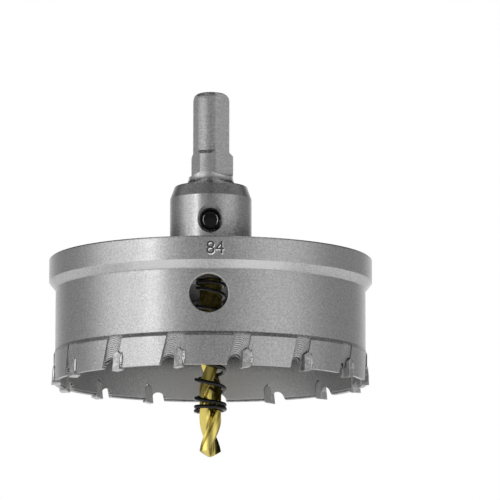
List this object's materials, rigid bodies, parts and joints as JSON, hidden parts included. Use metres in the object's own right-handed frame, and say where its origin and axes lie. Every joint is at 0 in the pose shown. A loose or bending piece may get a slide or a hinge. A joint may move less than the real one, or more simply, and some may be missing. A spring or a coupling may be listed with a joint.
{
  "type": "hole saw",
  "caption": "Cup-shaped hole saw with carbide-tipped rim, flanged plate, hub with flatted shank, pilot drill and ejector spring.",
  "frame": {"origin": "centre of the shank's end face", "axes": "+Z along the axis, out of the shank's end; -Y towards the set screw and the first window"},
  "size_m": [0.0856, 0.0854, 0.0973],
  "materials": {
    "cup_steel": "light grey steel, turned and satin, with fine rings round the axis",
    "arbor_steel": "mid grey steel, turned, with milled flats",
    "black_steel": "black oxide, slightly glossy",
    "gold_coating": "gold coloured nitride coating on ground steel",
    "carbide": "ground cemented carbide, mid grey"
  },
  "bodies": {
    "root": {"cup": "cup_steel", "arbor": "arbor_steel", "set_screw": "black_steel", "ejector_spring": "black_steel", "pilot_drill": "gold_coating", "carbide_tip_01": "carbide", "carbide_tip_02": "carbide", "carbide_tip_03": "carbide", "carbide_tip_04": "carbide", "carbide_tip_05": "carbide", "carbide_tip_06": "carbide", "carbide_tip_07": "carbide", "carbide_tip_08": "carbide", "carbide_tip_09": "carbide", "carbide_tip_10": "carbide", "carbide_tip_11": "carbide", "carbide_tip_12": "carbide", "carbide_tip_13": "carbide", "carbide_tip_14": "carbide", "carbide_tip_15": "carbide"}
  },
  "joints": []
}
